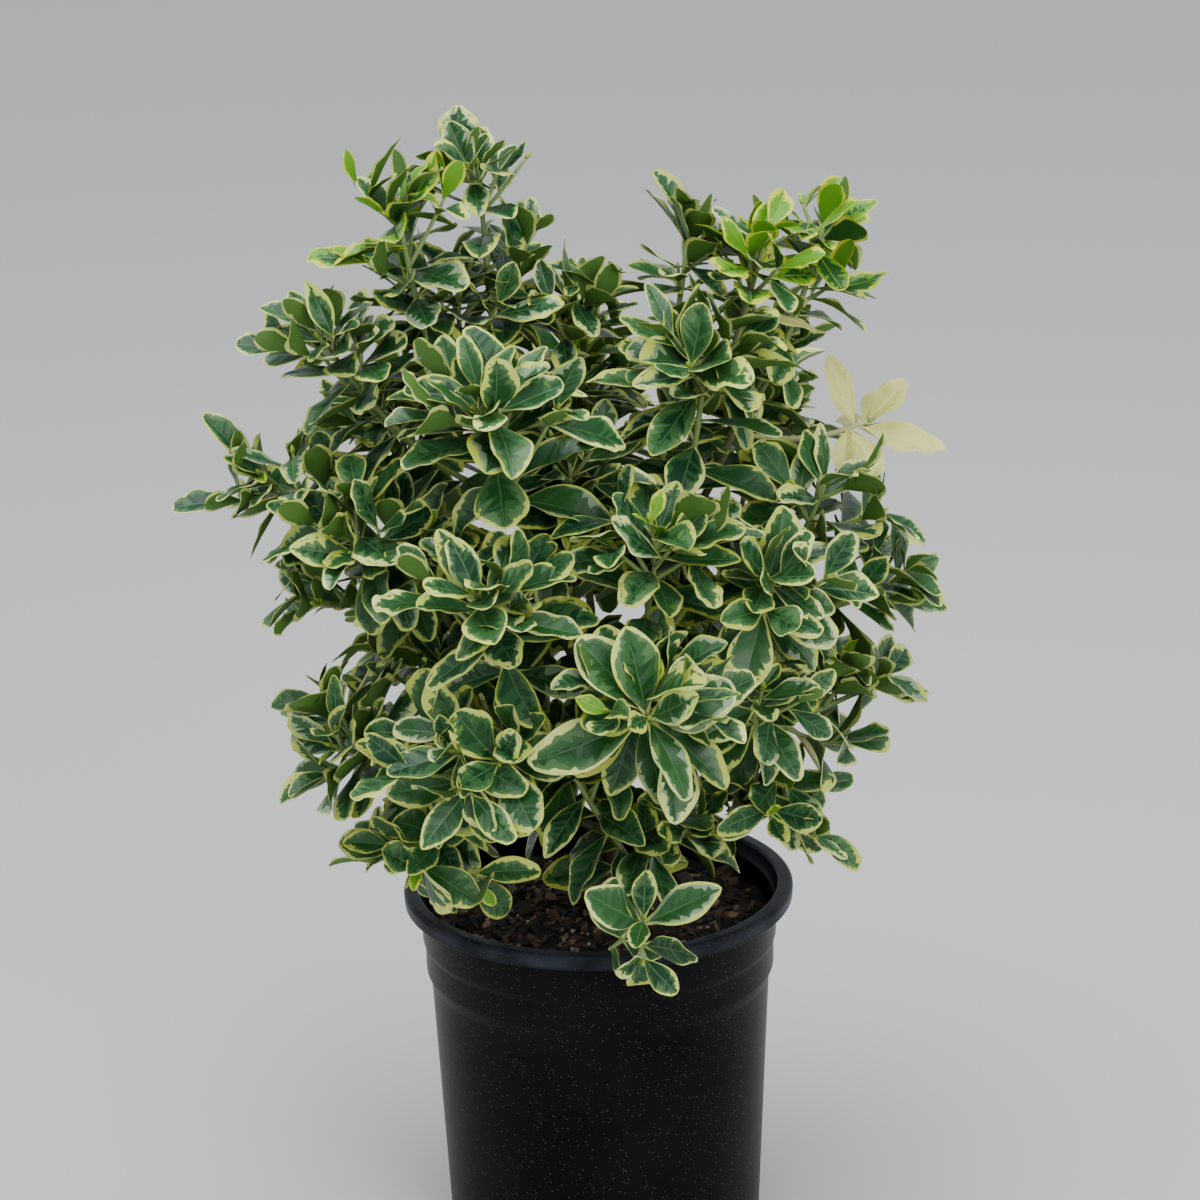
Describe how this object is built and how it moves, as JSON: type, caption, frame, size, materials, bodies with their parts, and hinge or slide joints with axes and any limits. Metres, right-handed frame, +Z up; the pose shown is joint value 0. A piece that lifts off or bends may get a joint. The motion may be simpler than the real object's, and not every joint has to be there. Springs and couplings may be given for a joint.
{
  "type": "potted variegated spindle shrub",
  "caption": "Bushy evergreen shrub, glossy dark green leaves edged in cream on upright branching stems, growing from bark mix in a round black plastic nursery pot.",
  "frame": {"origin": "middle of the pot's flat underside, where it stands on the ground", "axes": "+Z up along the pot's axis, -Y towards the shrub's front as pictured, +X to the right in that view"},
  "size_m": [0.5663, 0.4834, 0.8772],
  "materials": {
    "black_plastic": "satin",
    "potting_mix": "rough and moist",
    "pale_plastic": "matte",
    "bark": "rough",
    "green_bark": "satin",
    "leaf": "glossy",
    "cream_leaf": "satin"
  },
  "bodies": {
    "root": {"pot": "black_plastic", "soil": "potting_mix", "plant_tag": "pale_plastic", "main_stem": "bark", "second_stem": "bark", "low_front_bough": "green_bark", "low_left_bough": "green_bark", "back_left_bough": "green_bark", "front_left_bough": "green_bark", "left_bough": "green_bark", "front_bough": "green_bark", "back_bough": "green_bark", "centre_leader": "green_bark", "left_leader": "green_bark", "right_leader": "green_bark", "top_left_bough": "green_bark", "top_right_bough": "green_bark", "back_right_bough": "green_bark", "low_right_bough": "green_bark", "right_bough": "green_bark", "top_left_spray": "leaf", "crown_spray": "leaf", "upper_left_mass": "leaf", "left_shoulder_mass": "leaf", "far_left_spray": "leaf", "left_mass": "leaf", "left_drooping_spray": "leaf", "upper_middle_mass": "leaf", "middle_spray": "leaf", "centre_mass": "leaf", "front_left_mass": "leaf", "low_front_mass": "leaf", "lower_left_mass": "leaf", "low_left_hanging": "leaf", "front_centre_mass": "leaf", "centre_right_mass": "leaf", "tall_spray": "leaf", "upper_right_mass": "leaf", "bright_spray": "leaf", "right_tip_spray": "leaf", "right_shoulder_mass": "leaf", "cream_spray": "cream_leaf", "right_mass": "leaf", "right_bud_mass": "leaf", "far_right_mass": "leaf", "low_right_mass": "leaf", "lower_right_mass": "leaf", "low_right_hanging": "leaf", "foot_mass": "leaf", "front_hanging_mass": "leaf", "heart_mass": "leaf", "low_inner_left_mass": "leaf", "inner_right_mass": "leaf", "inner_left_mass": "leaf", "back_top_mass": "leaf", "back_middle_mass": "leaf", "back_left_mass": "leaf", "back_low_left_mass": "leaf", "back_right_mass": "leaf", "back_low_right_mass": "leaf"}
  },
  "joints": []
}
